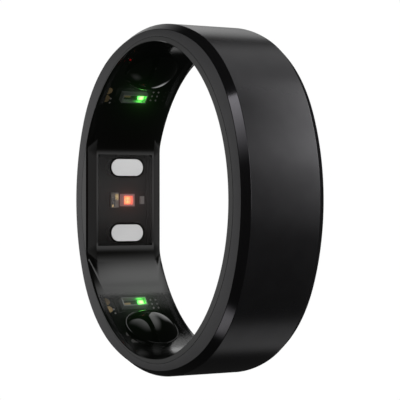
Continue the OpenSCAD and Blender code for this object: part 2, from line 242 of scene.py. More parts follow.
def oval_arcs(half_width, half_height):
    """Radius and centre offset of an oval's side arcs and end arcs, and the angle at their joints."""
    side = half_height + oval_step
    side_c = side - half_width
    end = (side**2 - side_c**2 - half_height**2) / (2 * oval_step)
    end_c = half_height - end
    return side, side_c, end, end_c, math.atan2(end_c, side_c)


def rim_outline(grow):
    side, side_c, end, end_c, join = oval_arcs(half_across - rim_side_wall, half_across - rim_top_wall)
    steps = SIDE_STEPS + CORNER_STEPS
    return [
        (-side_c, 0, side + grow, -join, join, steps),
        (0, end_c, end + grow, join, math.pi - join, steps),
        (side_c, 0, side + grow, math.pi - join, math.pi + join, steps),
        (0, -end_c, end + grow, math.pi + join, 2 * math.pi - join, steps),
    ]


bore_mid = (bore_right - bore_left) / 2
bore_side, bore_side_c, bore_end, bore_end_c, bore_join = oval_arcs((bore_right + bore_left) / 2, bore_top)


def bore_outline(grow, platform, blend):
    """The bore's oval with its flat platform and a blend at each end of the platform."""
    left = bore_mid + bore_side_c
    blend_x = blend - platform
    run = bore_side - blend
    dx = left - blend_x
    dz = math.sqrt(run**2 - dx**2)
    turn = math.atan2(dz, dx)
    pi = math.pi
    return [
        (bore_mid - bore_side_c, 0, bore_side + grow, -bore_join, bore_join, SIDE_STEPS),
        (bore_mid, bore_end_c, bore_end + grow, bore_join, pi - bore_join, END_STEPS),
        (left, 0, bore_side + grow, pi - bore_join, pi - turn, BLEND_STEPS),
        (blend_x, dz, blend + grow, pi - turn, pi, BLEND_STEPS),
        (blend_x, -dz, blend + grow, pi, pi + turn, BLEND_STEPS),
        (left, 0, bore_side + grow, pi + turn, pi + bore_join, BLEND_STEPS),
        (bore_mid, -bore_end_c, bore_end + grow, pi + bore_join, 2 * pi - bore_join, END_STEPS),
    ]


# Modelling
def deselect():
    bpy.ops.object.select_all(action="DESELECT")


def select_only(piece):
    deselect()
    piece.select_set(True)
    bpy.context.view_layer.objects.active = piece


def begin(name):
    """A new empty piece, in edit mode."""
    deselect()
    bpy.ops.mesh.primitive_plane_add(size=MM)
    piece = bpy.context.object
    piece.name = name
    piece.data.name = name
    bpy.ops.object.mode_set(mode="EDIT")
    bpy.ops.mesh.select_mode(type="VERT")
    bpy.ops.mesh.delete(type="VERT")
    return piece


def start_at(x, y, z):
    """One new selected vertex."""
    bpy.ops.mesh.select_all(action="DESELECT")
    bpy.ops.mesh.primitive_plane_add(size=SEED_SIZE, location=(x, y, z))
    bpy.ops.mesh.merge(type="CENTER")


def arc_point(arc, angle):
    return arc[0] + arc[2] * math.cos(angle), arc[1] + arc[2] * math.sin(angle)


def trace(arcs, y):
    """Spins a vertex round each arc in turn, with straight runs between, and closes the loop."""
    x, z = arc_point(arcs[0], arcs[0][3])
    start_at(x, y, z)
    for arc in arcs:
        nx, nz = arc_point(arc, arc[3])
        gap = Vector((nx - x, 0, nz - z))
        if gap.length > SAME_PLACE:
            for _ in range(LINE_STEPS):
                bpy.ops.mesh.extrude_region_move(TRANSFORM_OT_translate={"value": gap / LINE_STEPS})
        bpy.ops.mesh.spin(steps=arc[5], angle=arc[4] - arc[3], center=(arc[0], y, arc[1]), axis=FINGER_WAY)
        x, z = arc_point(arc, arc[4])
    bpy.ops.mesh.select_linked()
    bpy.ops.mesh.remove_doubles(threshold=SAME_PLACE)


def loft(piece, loops):
    """Traces each (outline, y) and bridges each loop to the next, and the last to the first.

    Flat rings come first, because their loops bridge the right way round only while they are loose."""
    for arcs, y in loops:
        trace(arcs, y)
        bpy.ops.object.vertex_group_assign_new()
    after = [(k + 1) % len(loops) for k in range(len(loops))]
    for k in sorted(range(len(loops)), key=lambda i: abs(loops[i][1] - loops[after[i]][1])):
        bpy.ops.mesh.select_all(action="DESELECT")
        for j in (k, after[k]):
            piece.vertex_groups.active_index = j
            bpy.ops.object.vertex_group_select()
        bpy.ops.mesh.bridge_edge_loops()
    piece.vertex_groups.clear()


def apply_modifiers(piece):
    select_only(piece)
    for modifier in list(piece.modifiers):
        bpy.ops.object.modifier_apply(modifier=modifier.name)


def resize_mesh(piece, factor):
    piece.scale = (factor, factor, factor)
    bpy.ops.object.transform_apply(location=False, rotation=False, scale=True)


def smooth_over(piece, angle):
    """Smooth up to an angle, with the broad faces kept flat and the turn left to the narrow ones.

    The modifier passes over faces this small, so it works on the piece a thousand times as large."""
    select_only(piece)
    bpy.ops.object.shade_smooth_by_angle(angle=math.radians(angle))
    resize_mesh(piece, 1 / MM)
    even = piece.modifiers.new("even", "WEIGHTED_NORMAL")
    even.keep_sharp = True
    bpy.ops.object.modifier_apply(modifier=even.name)
    resize_mesh(piece, MM)


def finish_piece(piece, *mats, smooth=PIECE_SMOOTH):
    """Leaves edit mode with the faces outwards, smooth up to an angle, and with its materials."""
    bpy.ops.mesh.select_all(action="SELECT")
    bpy.ops.mesh.remove_doubles(threshold=TINY)
    bpy.ops.mesh.normals_make_consistent(inside=False)
    bpy.ops.object.mode_set(mode="OBJECT")
    smooth_over(piece, smooth)
    for mat in mats:
        piece.data.materials.append(mat)


def set_down(piece, spot, inward):
    """Moves a piece modelled at the origin to its spot: its Z points inward and its X along the finger."""
    z = inward.normalized()
    turned = Matrix((FINGER_WAY, z.cross(FINGER_WAY), z)).transposed().to_4x4()
    piece.matrix_world = Matrix.Translation(spot) @ turned
    select_only(piece)
    bpy.ops.object.transform_apply(location=True, rotation=True, scale=True)


def settle(piece, slot, *replaced):
    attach(piece, "root")
    if replaced:
        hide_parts(*replaced)


# Materials
def make_grain_group():
    """Fine grain: a roughness that wanders between two values, and a bump normal."""
    group = bpy.data.node_groups.new("fine_grain", "ShaderNodeTree")
    panel = group.interface
    for name, value in (("Scale", 6000.0), ("Roughness Low", 0.3), ("Roughness High", 0.4),
                        ("Bump", 0.1), ("Cloud Scale", 120.0)):
        socket = panel.new_socket(name, in_out="INPUT", socket_type="NodeSocketFloat")
        socket.default_value = value
    panel.new_socket("Roughness", in_out="OUTPUT", socket_type="NodeSocketFloat")
    panel.new_socket("Normal", in_out="OUTPUT", socket_type="NodeSocketVector")
    n = group.nodes
    link = group.links.new
    source = n.new("NodeGroupInput")
    sink = n.new("NodeGroupOutput")
    place = n.new("ShaderNodeTexCoord")
    grain = n.new("ShaderNodeTexNoise")
    grain.inputs["Detail"].default_value = 3
    link(place.outputs["Object"], grain.inputs["Vector"])
    link(source.outputs["Scale"], grain.inputs["Scale"])
    cloud = n.new("ShaderNodeTexNoise")
    cloud.inputs["Detail"].default_value = 2
    link(place.outputs["Object"], cloud.inputs["Vector"])
    link(source.outputs["Cloud Scale"], cloud.inputs["Scale"])
    spread = n.new("ShaderNodeMapRange")
    link(cloud.outputs["Fac"], spread.inputs["Value"])
    spread.inputs["From Min"].default_value = 0.3
    spread.inputs["From Max"].default_value = 0.7
    link(source.outputs["Roughness Low"], spread.inputs["To Min"])
    link(source.outputs["Roughness High"], spread.inputs["To Max"])
    link(spread.outputs["Result"], sink.inputs["Roughness"])
    bump = n.new("ShaderNodeBump")
    bump.inputs["Distance"].default_value = 0.00001
    link(source.outputs["Bump"], bump.inputs["Strength"])
    link(grain.outputs["Fac"], bump.inputs["Height"])
    link(bump.outputs["Normal"], sink.inputs["Normal"])
    return group


grain_group = make_grain_group()


def finish(name, color, metallic=0.0, low=0.3, high=0.4, bump=0.1, scale=6000.0, **sockets):
    """A material of one colour, whose roughness and normal come from the grain group.

    The names of other sockets are given with _ for each space."""
    mat = bpy.data.materials.new(name)
    mat.use_nodes = True
    n = mat.node_tree.nodes
    link = mat.node_tree.links.new
    skin = n["Principled BSDF"]
    skin.inputs["Base Color"].default_value = (*color, 1)
    skin.inputs["Metallic"].default_value = metallic
    for socket, value in sockets.items():
        skin.inputs[socket.replace("_", " ")].default_value = value
    grain = n.new("ShaderNodeGroup")
    grain.node_tree = grain_group
    for socket, value in (("Roughness Low", low), ("Roughness High", high), ("Bump", bump), ("Scale", scale)):
        grain.inputs[socket].default_value = value
    link(grain.outputs["Roughness"], skin.inputs["Roughness"])
    link(grain.outputs["Normal"], skin.inputs["Normal"])
    return mat


def mottle(mat, dark, light, scale):
    """Lets the base colour wander between two shades."""
    n = mat.node_tree.nodes
    link = mat.node_tree.links.new
    place = n.new("ShaderNodeTexCoord")
    noise = n.new("ShaderNodeTexNoise")
    noise.inputs["Scale"].default_value = scale
    noise.inputs["Detail"].default_value = 4
    ramp = n.new("ShaderNodeValToRGB")
    ramp.color_ramp.elements[0].position = 0.35
    ramp.color_ramp.elements[0].color = (*dark, 1)
    ramp.color_ramp.elements[1].position = 0.65
    ramp.color_ramp.elements[1].color = (*light, 1)
    link(place.outputs["Object"], noise.inputs["Vector"])
    link(noise.outputs["Fac"], ramp.inputs["Fac"])
    link(ramp.outputs["Color"], n["Principled BSDF"].inputs["Base Color"])
    return mat


def one_wall(mat, alpha):
    """Lets the inner side of a clear piece's walls through, so that each wall is counted once."""
    n = mat.node_tree.nodes
    link = mat.node_tree.links.new
    side = n.new("ShaderNodeNewGeometry")
    wall = n.new("ShaderNodeMapRange")
    wall.inputs["To Max"].default_value = 0
    link(side.outputs["Backfacing"], wall.inputs["Value"])
    if isinstance(alpha, float):
        wall.inputs["To Min"].default_value = alpha
    else:
        link(alpha, wall.inputs["To Min"])
    link(wall.outputs["Result"], n["Principled BSDF"].inputs["Alpha"])


def clear_over_sources(mat, clear):
    """Dark cast resin that is clear only over the light sources and round the domes."""
    n = mat.node_tree.nodes
    link = mat.node_tree.links.new
    place = n.new("ShaderNodeTexCoord")
    split = n.new("ShaderNodeSeparateXYZ")
    link(place.outputs["Object"], split.inputs["Vector"])
    dark = None
    for axis, (start, end) in (("Z", clear_height), ("Y", clear_width), ("X", clear_depth)):
        value = split.outputs[axis]
        if axis != "X":
            size = n.new("ShaderNodeMath")
            size.operation = "ABSOLUTE"
            link(value, size.inputs[0])
            value = size.outputs["Value"]
        step = n.new("ShaderNodeMapRange")
        step.interpolation_type = "SMOOTHSTEP"
        step.inputs["From Min"].default_value = start
        step.inputs["From Max"].default_value = end
        link(value, step.inputs["Value"])
        if dark:
            most = n.new("ShaderNodeMath")
            most.operation = "MAXIMUM"
            link(dark, most.inputs[0])
            link(step.outputs["Result"], most.inputs[1])
            dark = most.outputs["Value"]
        else:
            dark = step.outputs["Result"]
    spread = n.new("ShaderNodeMapRange")
    spread.inputs["To Min"].default_value = clear
    link(dark, spread.inputs["Value"])
    one_wall(mat, spread.outputs["Result"])


satin_band = mottle(finish("satin_band", (0.046, 0.045, 0.047), metallic=0.6, low=0.2, high=0.25, bump=0.05,
                           scale=9000),
                    (0.043, 0.042, 0.045), (0.049, 0.048, 0.051), scale=900)
polished_chamfer = mottle(finish("polished_chamfer", (0.05, 0.048, 0.052), metallic=0.8, low=0.1, high=0.13,
                                 bump=0.02),
                          (0.048, 0.046, 0.05), (0.052, 0.05, 0.055), scale=700)
smoked_resin = finish("smoked_resin", (0.004, 0.004, 0.004), low=0.1, high=0.13, bump=0.0)
clear_over_sources(smoked_resin, clear=0.5)
window_resin = finish("window_resin", (0.006, 0.005, 0.005), low=0.1, high=0.14, bump=0.0)
one_wall(window_resin, alpha=0.5)
lens_resin = finish("lens_resin", (0.003, 0.003, 0.003), low=0.03, high=0.06, bump=0.0)
contact_plating = finish("contact_plating", (0.8, 0.8, 0.8), metallic=1.0, low=0.38, high=0.5, bump=0.12,
                         scale=14000)
seal_rubber = finish("seal_rubber", (0.004, 0.004, 0.004), low=0.5, high=0.6)
board_mask = mottle(finish("board_mask", (0.02, 0.016, 0.013), low=0.3, high=0.4),
                    (0.012, 0.01, 0.009), (0.03, 0.022, 0.016), scale=900)
flex_mask = mottle(finish("flex_mask", (0.02, 0.025, 0.02), low=0.25, high=0.35),
                   (0.012, 0.016, 0.013), (0.026, 0.034, 0.028), scale=800)
# White mould of the red source's case, tinted pink and given a faint pink glow: painted red light from the
# lit dies.
white_mould = mottle(finish("white_mould", (0.8, 0.55, 0.55), low=0.4, high=0.5,
                            Emission_Color=(1.0, 0.5, 0.5, 1), Emission_Strength=0.25),
                     (0.75, 0.5, 0.5), (0.85, 0.6, 0.58), scale=4000)
# Silvered frames of the green sources, tinted green and given a faint greenish glow: painted light.
silvered = finish("silvered", (0.6, 0.63, 0.61), metallic=0.7, low=0.4, high=0.5,
                  Emission_Color=(0.9, 1.0, 0.94, 1), Emission_Strength=0.02)
dark_floor = finish("dark_floor", (0.02, 0.03, 0.022), low=0.3, high=0.4)
pd_silicon = finish("pd_silicon", (0.09, 0.085, 0.08), low=0.12, high=0.2)
pd_frame = mottle(finish("pd_frame", (0.7, 0.6, 0.52), low=0.3, high=0.4),
                  (0.64, 0.54, 0.47), (0.76, 0.66, 0.57), scale=3000)
carrier_mask = mottle(finish("carrier_mask", (0.03, 0.036, 0.03), low=0.25, high=0.35),
                      (0.022, 0.027, 0.022), (0.036, 0.044, 0.036), scale=1200)
chip_mould = mottle(finish("chip_mould", (0.02, 0.02, 0.022), low=0.45, high=0.6),
                    (0.016, 0.016, 0.018), (0.028, 0.028, 0.03), scale=3000)
chip_lid = finish("chip_lid", (0.55, 0.55, 0.57), metallic=1.0, low=0.3, high=0.4)
# Ceramic parts given a faint glow: painted light that lifts them out of the dark.
ceramic = mottle(finish("ceramic", (0.6, 0.54, 0.5), low=0.4, high=0.5,
                        Emission_Color=(1.0, 0.92, 0.9, 1), Emission_Strength=0.1),
                 (0.5, 0.45, 0.4), (0.66, 0.6, 0.55), scale=2500)
# Tin given a faint glow: painted light.
solder_tin = finish("solder_tin", (0.8, 0.79, 0.78), metallic=0.6, low=0.3, high=0.4,
                    Emission_Color=(1.0, 0.98, 0.96, 1), Emission_Strength=0.06)
# Gold given a faint glow: painted light.
gold_plate = finish("gold_plate", (0.85, 0.62, 0.32), metallic=0.8, low=0.3, high=0.4,
                    Emission_Color=(1.0, 0.74, 0.38, 1), Emission_Strength=0.04)
foil = finish("foil", (0.6, 0.6, 0.62), metallic=1.0, low=0.3, high=0.45, bump=0.3, scale=1200)
amber_film = finish("amber_film", (0.4, 0.25, 0.05), low=0.3, high=0.4)
nickel_strip = finish("nickel_strip", (0.6, 0.58, 0.54), metallic=1.0, low=0.3, high=0.4)


def lit(name, deep, hot, strength, spot, reach):
    """A lit die: hottest round its middle, deeper in colour towards its edges."""
    mat = finish(name, deep, low=0.3, high=0.4)
    n = mat.node_tree.nodes
    link = mat.node_tree.links.new
    place = n.new("ShaderNodeTexCoord")
    away = n.new("ShaderNodeVectorMath")
    away.operation = "DISTANCE"
    away.inputs[1].default_value = spot
    fade = n.new("ShaderNodeMapRange")
    fade.inputs["From Min"].default_value = 0
    fade.inputs["From Max"].default_value = reach
    ramp = n.new("ShaderNodeValToRGB")
    ramp.color_ramp.elements[0].color = (*hot, 1)
    ramp.color_ramp.elements[1].color = (*deep, 1)
    link(place.outputs["Object"], away.inputs[0])
    link(away.outputs["Value"], fade.inputs["Value"])
    link(fade.outputs["Result"], ramp.inputs["Fac"])
    link(ramp.outputs["Color"], n["Principled BSDF"].inputs["Emission Color"])
    n["Principled BSDF"].inputs["Emission Strength"].default_value = strength
    return mat


def node_centre(node):
    low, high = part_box(node)
    return (low + high) / 2


def dress(node, mat):
    """Gives a CAD node its finish."""
    nodes[node].data.materials.clear()
    nodes[node].data.materials.append(mat)


# Pieces
def make_band():
    """Metal shell: chamfered outside, flat rims, and the channel behind the electronics."""
    piece = begin("band_shell")
    flat_half = half_w - chamfer_w
    loft(piece, [
        (band_outline(-chamfer_r), -half_w),
        (band_outline(0), -flat_half),
        (band_outline(0), flat_half),
        (band_outline(-chamfer_r), half_w),
        (rim_outline(0), half_w - dish),
        (rim_outline(0), channel_half + dish),
        (band_outline(-shell_wall), channel_half),
        (band_outline(-shell_wall), -channel_half),
        (rim_outline(0), -channel_half - dish),
        (rim_outline(0), dish - half_w),
    ])
    bpy.ops.mesh.select_all(action="DESELECT")
    bpy.ops.mesh.select_mode(type="EDGE")
    bpy.ops.mesh.edges_select_sharp(sharpness=math.radians(SHARP_FOLD))
    bpy.ops.mesh.bevel(offset=edge_round, segments=2)
    bpy.ops.mesh.select_mode(type="VERT")
    finish_piece(piece, satin_band, polished_chamfer)
    least, most = chamfer_lean_shares
    for face in piece.data.polygons:
        outside = face.center.xz.length > half_across - 2 * chamfer_r
        if outside and least < abs(face.normal.y) < most and abs(face.center.y) > flat_half:
            face.material_index = 1
    settle(piece, "metal_band", "outer_shell")


def dome_place(sign):
    """Foot of a dome on the bore's end arc, and the way it faces."""
    out = Vector((math.cos(sign * dome_angle), 0, math.sin(sign * dome_angle)))
    foot = Vector((bore_mid, 0, sign * bore_end_c)) + out * bore_end
    return foot, -out


def make_cutter(name, spot, inward, draw_outline, depth):
    """A tool that cuts an outline's hole through the liner, from a depth behind the spot to one before it."""
    piece = begin(name)
    draw_outline()
    bpy.ops.mesh.extrude_region_move(TRANSFORM_OT_translate={"value": (0, 0, 2 * depth)})
    bpy.ops.mesh.select_all(action="SELECT")
    bpy.ops.mesh.normals_make_consistent(inside=False)
    bpy.ops.object.mode_set(mode="OBJECT")
    set_down(piece, spot - inward * depth, inward)
    return piece


def make_liner():
    """Smoked liner: flanges in both rims, the bore with its platform, and holes for window and domes."""
    piece = begin("smoked_liner")
    flange = channel_half - fit_gap
    lip_share = lip_w / bevel_w
    rim_bore = bore_outline(lip_r, platform_x + bevel_d - lip_r, rim_blend)
    lip_platform = platform_x + bevel_d * (1 - lip_share)
    lip_bore = bore_outline(0, lip_platform, lip_blend)
    turn_bore = bore_outline(turn_r, lip_platform, lip_blend)
    inner_bore = bore_outline(0, platform_x, platform_blend)
    back = bore_outline(liner_wall, platform_x, platform_blend)
    loft(piece, [
        (rim_outline(-fit_gap), dish - half_w),
        (rim_bore, -half_w),
        (turn_bore, turn_w - half_w),
        (lip_bore, lip_w - half_w),
        (inner_bore, bevel_w - half_w),
        (inner_bore, half_w - bevel_w),
        (lip_bore, half_w - lip_w),
        (turn_bore, half_w - turn_w),
        (rim_bore, half_w),
        (rim_outline(-fit_gap), half_w - dish),
        (rim_outline(-fit_gap), flange),
        (back, flange - dish),
        (back, dish - flange),
        (rim_outline(-fit_gap), -flange),
    ])
    finish_piece(piece, smoked_resin, smooth=LINER_SMOOTH)
    low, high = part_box("sensor_window")
    size = high - low

    def window_shape():
        bpy.ops.mesh.primitive_plane_add(size=1)
        bpy.ops.transform.resize(value=(size.y + 2 * fit_gap, size.z + 2 * fit_gap, 1))

    def dome_shape():
        bpy.ops.mesh.primitive_circle_add(vertices=DOME_STEPS, radius=dome_r + fit_gap, fill_type="NGON")

    cutters = [make_cutter("window_cutter", node_centre("sensor_window"), PLATFORM_IN, window_shape, MM)]
    for sign in (1, -1):
        foot, inward = dome_place(sign)
        cutters.append(make_cutter("dome_cutter", foot, inward, dome_shape, MM))
    for cutter in cutters:
        cut = piece.modifiers.new("opening", "BOOLEAN")
        cut.operation = "DIFFERENCE"
        cut.object = cutter
    apply_modifiers(piece)
    for cutter in cutters:
        bpy.data.objects.remove(cutter)
    smooth_over(piece, LINER_SMOOTH)
    settle(piece, "liner_resin", "inner_liner")


def make_dome(name, node, sign):
    """Domed lens with a fine bead round its foot and a collar that fills its hole."""
    collar = bore_end - math.sqrt(bore_end**2 - dome_r**2)
    ball_r = (dome_r**2 + dome_h**2) / (2 * dome_h)
    ball_z = collar + dome_h - ball_r
    piece = begin(name)
    start_at(0, 0, collar + dome_h)
    bpy.ops.mesh.spin(steps=DOME_RISE_STEPS, angle=math.asin(dome_r / ball_r), center=(0, 0, ball_z),
                      axis=(0, -1, 0))
    profile = [(bead_r, 0), (bead_r / 2, -bead_r / 2), (0, -bead_r), (-bead_r / 2, -bead_r / 2),
               (-bead_r, 0), (0, 2 * bead_r - collar - liner_wall), (-dome_r, 0)]
    for dx, dz in profile:
        bpy.ops.mesh.extrude_region_move(TRANSFORM_OT_translate={"value": (dx, 0, dz)})
    bpy.ops.mesh.select_all(action="SELECT")
    bpy.ops.mesh.spin(steps=DOME_STEPS, angle=2 * math.pi, center=(0, 0, 0), axis=(0, 0, 1))
    finish_piece(piece, lens_resin, smooth=LENS_SMOOTH)
    foot, inward = dome_place(sign)
    set_down(piece, foot, inward)
    settle(piece, "dome_clear", node)


def make_contact(name, node):
    """Charging contact: a pad with round ends and a softened edge."""
    low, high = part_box(node)
    size = high - low
    end_r = size.z / 2
    run = size.y / 2 - end_r
    piece = begin(name)
    start_at(run, -end_r, 0)
    bpy.ops.mesh.spin(steps=CONTACT_END_STEPS, angle=-math.pi, center=(run, 0, 0), axis=(0, 0, 1))
    bpy.ops.mesh.extrude_region_move(TRANSFORM_OT_translate={"value": (-2 * run, 0, 0)})
    bpy.ops.mesh.spin(steps=CONTACT_END_STEPS, angle=-math.pi, center=(-run, 0, 0), axis=(0, 0, 1))
    bpy.ops.mesh.select_all(action="SELECT")
    bpy.ops.mesh.edge_face_add()
    bpy.ops.mesh.extrude_region_move(TRANSFORM_OT_translate={"value": (0, 0, size.x)})
    bpy.ops.mesh.bevel(offset=contact_round, segments=3)
    finish_piece(piece, contact_plating, smooth=CONTACT_SMOOTH)
    centre = node_centre(node)
    set_down(piece, Vector((low.x, centre.y, centre.z)), PLATFORM_IN)
    settle(piece, "contact_metal", node)


def inward_at(sign):
    """Way in from the light source on the upper (1) or lower (-1) corner."""
    return Vector((-math.cos(green_angle), 0, -sign * math.sin(green_angle)))


def make_chip(name, spot, inward, w, l, t, mat, slot, edge, *replaced):
    """A small block with softened edges: w along the finger, l round the ring, t thick."""
    piece = begin(name)
    bpy.ops.mesh.primitive_plane_add(size=1)
    bpy.ops.transform.resize(value=(w, l, 1))
    bpy.ops.mesh.extrude_region_move(TRANSFORM_OT_translate={"value": (0, 0, t)})
    bpy.ops.mesh.bevel(offset=edge, segments=2)
    finish_piece(piece, mat)
    set_down(piece, spot, inward)
    settle(piece, slot, *replaced)


def make_green_source(level, sign):
    """Inside of a green light source: its floor, its bond pad and its lit die."""
    inward = inward_at(sign)
    case = node_centre("green_led_" + level)
    low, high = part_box("green_led_" + level)
    w = high.y - low.y - 2 * green_rim
    floor = case - inward * (led_t / 2 - green_floor)
    make_chip("green_floor_" + level, floor, inward, w - fit_gap, green_well_l, film_t, dark_floor,
              "chip_black", film_t / 4)
    pad = floor + inward * film_t - Vector((0, pad_along, 0))
    make_chip("green_pad_" + level, pad, inward, green_pad_w, green_pad_l, 2 * film_t, gold_plate,
              "gold", film_t / 4)
    die = node_centre("green_die_" + level) - inward * green_die_t / 2
    top = die + inward * green_die_t
    glow = lit("green_glow_" + level, (0.04, 1.0, 0.07), (0.42, 1.0, 0.2), green_power, top, green_reach)
    make_chip("green_lit_" + level, die, inward, green_die_w, green_die_l, green_die_t, glow,
              "led_die_green", film_t, "green_die_" + level)


def make_dots(name, spot, inward, places, mat, slot):
    """Small round pads, domed a little, at places along the finger's way and round the ring."""
    piece = begin(name)
    last = Vector((*places[0], 0))
    bpy.ops.mesh.primitive_circle_add(vertices=DOT_STEPS, radius=dot_r, fill_type="NGON", location=last)
    bpy.ops.mesh.extrude_region_move(TRANSFORM_OT_translate={"value": (0, 0, dot_t)})
    bpy.ops.mesh.bevel(offset=dot_t / 2, segments=2)
    bpy.ops.mesh.select_all(action="SELECT")
    for place in places[1:]:
        here = Vector((*place, 0))
        bpy.ops.mesh.duplicate_move(TRANSFORM_OT_translate={"value": here - last})
        last = here
    finish_piece(piece, mat)
    set_down(piece, spot, inward)
    settle(piece, slot)


def on_circuit(angle, along, sign):
    """A place on the circuit's inner face round a corner, and the way in from it."""
    turn = math.radians(angle)
    out = Vector((-math.cos(turn), 0, sign * math.sin(turn)))
    centre = Vector((-corner_c, along, sign * corner_c))
    return centre + out * (corner_r - circuit_depth), -out


def make_carrier(level, sign):
    """Small board under a green source, with its dots at either end."""
    inward = inward_at(sign)
    along = node_centre("green_led_" + level).y
    face, _ = on_circuit(carrier_angle, 0, sign)
    spot = Vector((face.x, along, face.z))
    make_chip("carrier_" + level, spot, inward, carrier_w, carrier_l, carrier_t, carrier_mask, "flex", film_t)
    right_dots = [(along_it, round_it) for along_it in right_dots_along for round_it in right_dots_round]
    make_dots("dots_right_" + level, spot, inward, right_dots, solder_tin, "nickel")
    make_dots("dots_left_" + level, spot, inward, left_dots, solder_tin, "nickel")


def make_photodiode_top():
    """Dark face of the photodiode in the middle, and its two gold pads."""
    centre = node_centre("middle_photodiode")
    top = Vector((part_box("middle_photodiode")[1].x, centre.y, centre.z))
    make_chip("pd_face", top + Vector((0, *pd_face_place)), PLATFORM_IN, pd_face_w, pd_face_l, film_t,
              pd_silicon, "photodiode", film_t / 4)
    for name, place, w, l in pd_gold_pads:
        make_chip(name, top + Vector((0, *place)), PLATFORM_IN, w, l, pd_gold_t, gold_plate,
                  "gold", film_t / 2)


def make_red_source():
    """Four lit dies in two rows, and the pale floor of the case round them, which carries a painted red glow.
    """
    dies = node_centre("red_ir_dies")
    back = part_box("red_ir_dies")[0].x
    glow = lit("red_glow", (1.0, 0.1, 0.04), (1.0, 0.5, 0.2), red_power, dies, red_reach)
    piece = begin("red_lit")
    step = red_die_w + red_die_gap
    bpy.ops.mesh.primitive_plane_add(size=1, location=(-step / 2, -step / 2, 0))
    bpy.ops.transform.resize(value=(red_die_w, red_die_w, 1))
    bpy.ops.mesh.extrude_region_move(TRANSFORM_OT_translate={"value": (0, 0, red_die_t)})
    bpy.ops.mesh.bevel(offset=film_t, segments=2)
    bpy.ops.mesh.select_all(action="SELECT")
    bpy.ops.mesh.duplicate_move(TRANSFORM_OT_translate={"value": (step, 0, 0)})
    bpy.ops.mesh.select_all(action="SELECT")
    bpy.ops.mesh.duplicate_move(TRANSFORM_OT_translate={"value": (0, step, 0)})
    finish_piece(piece, glow)
    set_down(piece, Vector((back, dies.y, dies.z)), PLATFORM_IN)
    settle(piece, "led_die_red", "red_ir_dies")
    floor = Vector((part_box("red_ir_led")[0].x + red_floor, dies.y, dies.z))
    make_chip("red_floor", floor, PLATFORM_IN, red_floor_w, red_floor_l, film_t / 2, white_mould,
              "led_frame_red", film_t / 8)


def make_dome_side_parts():
    """Tinned parts beside the lower dome, and small red dots beside both domes that glow as painted glints.
    """
    for k, angle in enumerate(tinned_angles):
        spot, inward = on_circuit(angle, tinned_along, -1)
        make_chip(f"tinned_part_{k}", spot, inward, tinned_w, tinned_l, tinned_t, solder_tin, "nickel",
                  tinned_round)
    for k, (angle, along, sign) in enumerate(red_glints):
        spot, inward = on_circuit(angle, along, sign)
        # Each red dot glows: a painted glint, not a lamp.
        painted_glint = lit(f"ember_{k}", (0.4, 0.0, 0.005), (1.0, 0.02, 0.03), glint_power, spot, glint_reach)
        make_dots(f"red_spot_{k}", spot, inward, [(0, 0)], painted_glint, "led_die_red")


make_band()
make_liner()
make_dome("lens_upper", "dome_lens_upper", 1)
make_dome("lens_lower", "dome_lens_lower", -1)
make_contact("contact_upper", "charge_contact_upper")
make_contact("contact_lower", "charge_contact_lower")
for level, sign in (("upper", 1), ("lower", -1)):
    make_green_source(level, sign)
    make_carrier(level, sign)
make_photodiode_top()
make_red_source()
make_dome_side_parts()

# Finishes of the pieces that the frame gives
for node, mat in {
    "sensor_window": window_resin, "contact_seals": seal_rubber, "sensor_board": board_mask,
    "board_spacers": solder_tin, "red_ir_led": white_mould,
    "middle_photodiode": pd_frame, "green_led_upper": silvered, "green_led_lower": silvered,
    "photodiode_upper": pd_silicon, "photodiode_lower": pd_silicon, "flex_circuit": flex_mask,
    "bluetooth_chip": chip_mould, "power_chip": chip_mould, "memory_chip": chip_mould,
    "motion_sensor": chip_mould, "timing_crystal": chip_lid, "chip_antenna": ceramic,
    "temperature_sensor": chip_mould, "passives": ceramic, "test_pads": gold_plate,
    "battery_cell": foil, "battery_tape": amber_film, "battery_tabs": nickel_strip,
    "protection_chip": chip_mould,
}.items():
    dress(node, mat)


# Studio
def make_camera():
    """The photograph's viewing angle, level with the ring's middle."""
    azimuth = math.radians(59.9)
    distance = 109.2 * MM
    camera = bpy.data.cameras.new("camera")
    camera.sensor_width = 36
    camera.lens = 138.5
    camera.shift_x = 0.0247
    camera.shift_y = 0.0003
    camera.clip_start = MM
    eye = bpy.data.objects.new("camera", camera)
    bpy.context.scene.collection.objects.link(eye)
    eye.location = (distance * math.sin(azimuth), -distance * math.cos(azimuth), 0)
    eye.rotation_euler = (math.pi / 2, 0, azimuth)
    bpy.context.scene.camera = eye


def make_floor():
    """A plain white floor under the ring, which only the camera sees."""
    floor_gap = 0.2 * MM
    deselect()
    bpy.ops.mesh.primitive_plane_add(size=2, location=(0, 0, -half_across - floor_gap))
    floor = bpy.context.object
    floor.name = "floor"
    mat = bpy.data.materials.new("floor_white")
    mat.use_nodes = True
    skin = mat.node_tree.nodes["Principled BSDF"]
    skin.inputs["Base Color"].default_value = (0, 0, 0, 1)
    skin.inputs["Specular IOR Level"].default_value = 0
    skin.inputs["Emission Color"].default_value = (1, 1, 1, 1)
    skin.inputs["Emission Strength"].default_value = 1
    floor.data.materials.append(mat)
    floor.visible_diffuse = False
    floor.visible_glossy = False
    floor.visible_transmission = False
    floor.visible_shadow = False


def make_world():
    """White behind the object and dim grey all round it."""
    world = bpy.data.worlds.new("studio")
    bpy.context.scene.world = world
    world.use_nodes = True
    n = world.node_tree.nodes
    link = world.node_tree.links.new
    behind = n["Background"]
    behind.inputs["Color"].default_value = (1, 1, 1, 1)
    around = n.new("ShaderNodeBackground")
    around.inputs["Color"].default_value = (0.011, 0.011, 0.011, 1)
    ray = n.new("ShaderNodeLightPath")
    mix = n.new("ShaderNodeMixShader")
    link(ray.outputs["Is Camera Ray"], mix.inputs["Fac"])
    link(around.outputs["Background"], mix.inputs[1])
    link(behind.outputs["Background"], mix.inputs[2])
    link(mix.outputs["Shader"], n["World Output"].inputs["Surface"])


def light_group(name, pieces):
    """Pieces that a light may be kept to."""
    group = bpy.data.collections.new(name)
    for piece in pieces:
        group.objects.link(piece)
    return group


